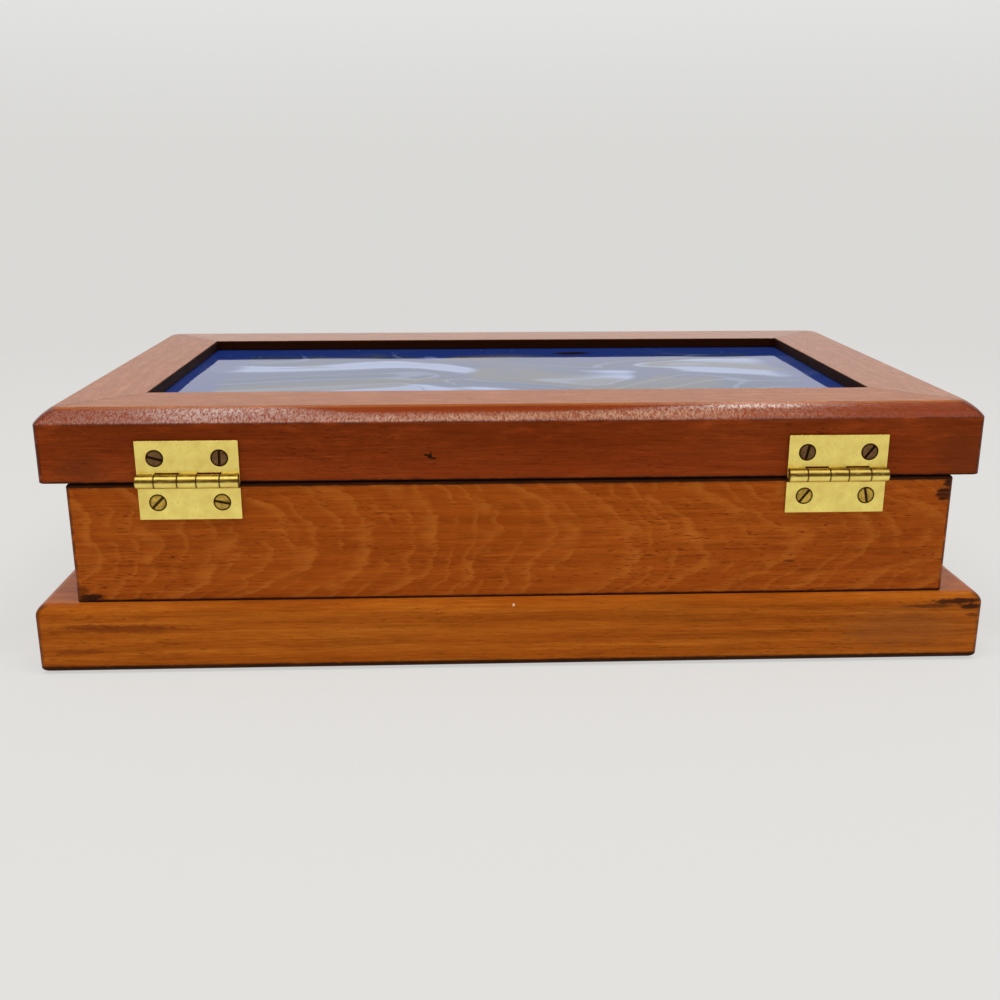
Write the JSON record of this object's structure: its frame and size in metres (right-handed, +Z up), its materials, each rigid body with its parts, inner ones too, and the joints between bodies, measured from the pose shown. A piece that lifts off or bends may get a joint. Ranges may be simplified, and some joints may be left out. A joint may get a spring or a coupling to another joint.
{
  "type": "trinket box",
  "caption": "Low rectangular wooden box on a wide base board, with an overhanging framed lid that holds a recessed glossy panel and turns on brass butt hinges at the rear.",
  "frame": {"origin": "middle of the underside, where the baize under the base board rests", "axes": "+Z up, front towards -Y, hinges on the +Y side, +X to the right of someone facing the front"},
  "size_m": [0.2416, 0.1433, 0.0677],
  "materials": {
    "lid_wood": "satin varnish",
    "wall_wood": "satin varnish",
    "base_wood": "satin varnish",
    "plywood": "bare",
    "panel_glaze": "high gloss",
    "lining_felt": "matt felt",
    "baize": "matt baize",
    "brass": "polished",
    "bronzed_screws": "bronzed",
    "brass_screws": "tarnished",
    "steel_screws": "plain"
  },
  "bodies": {
    "case": {"base_baize": "baize", "base_board": "base_wood", "base_screws": "steel_screws", "rear_wall": "wall_wood", "front_wall": "wall_wood", "left_wall": "wall_wood", "right_wall": "wall_wood", "floor_lining": "lining_felt", "hinge_left_pin": "brass", "hinge_right_pin": "brass", "hinge_left_body_leaf": "brass", "hinge_right_body_leaf": "brass", "hinge_left_body_screws": "brass_screws", "hinge_right_body_screws": "brass_screws"},
    "lid": {"lid_rear_rail": "lid_wood", "lid_front_rail": "lid_wood", "lid_left_rail": "lid_wood", "lid_right_rail": "lid_wood", "lid_panel": "panel_glaze", "lid_backing": "plywood", "lid_lining": "lining_felt", "hinge_left_lid_leaf": "brass", "hinge_right_lid_leaf": "brass", "hinge_left_lid_screws": "bronzed_screws", "hinge_right_lid_screws": "bronzed_screws"}
  },
  "joints": [
    {"name": "lid_hinge", "type": "hinge", "parent": "case", "child": "lid", "pos_m": [0, 0.0704, 0.0502], "axis": [-1, 0, 0], "range_deg": [0, 180]}
  ]
}
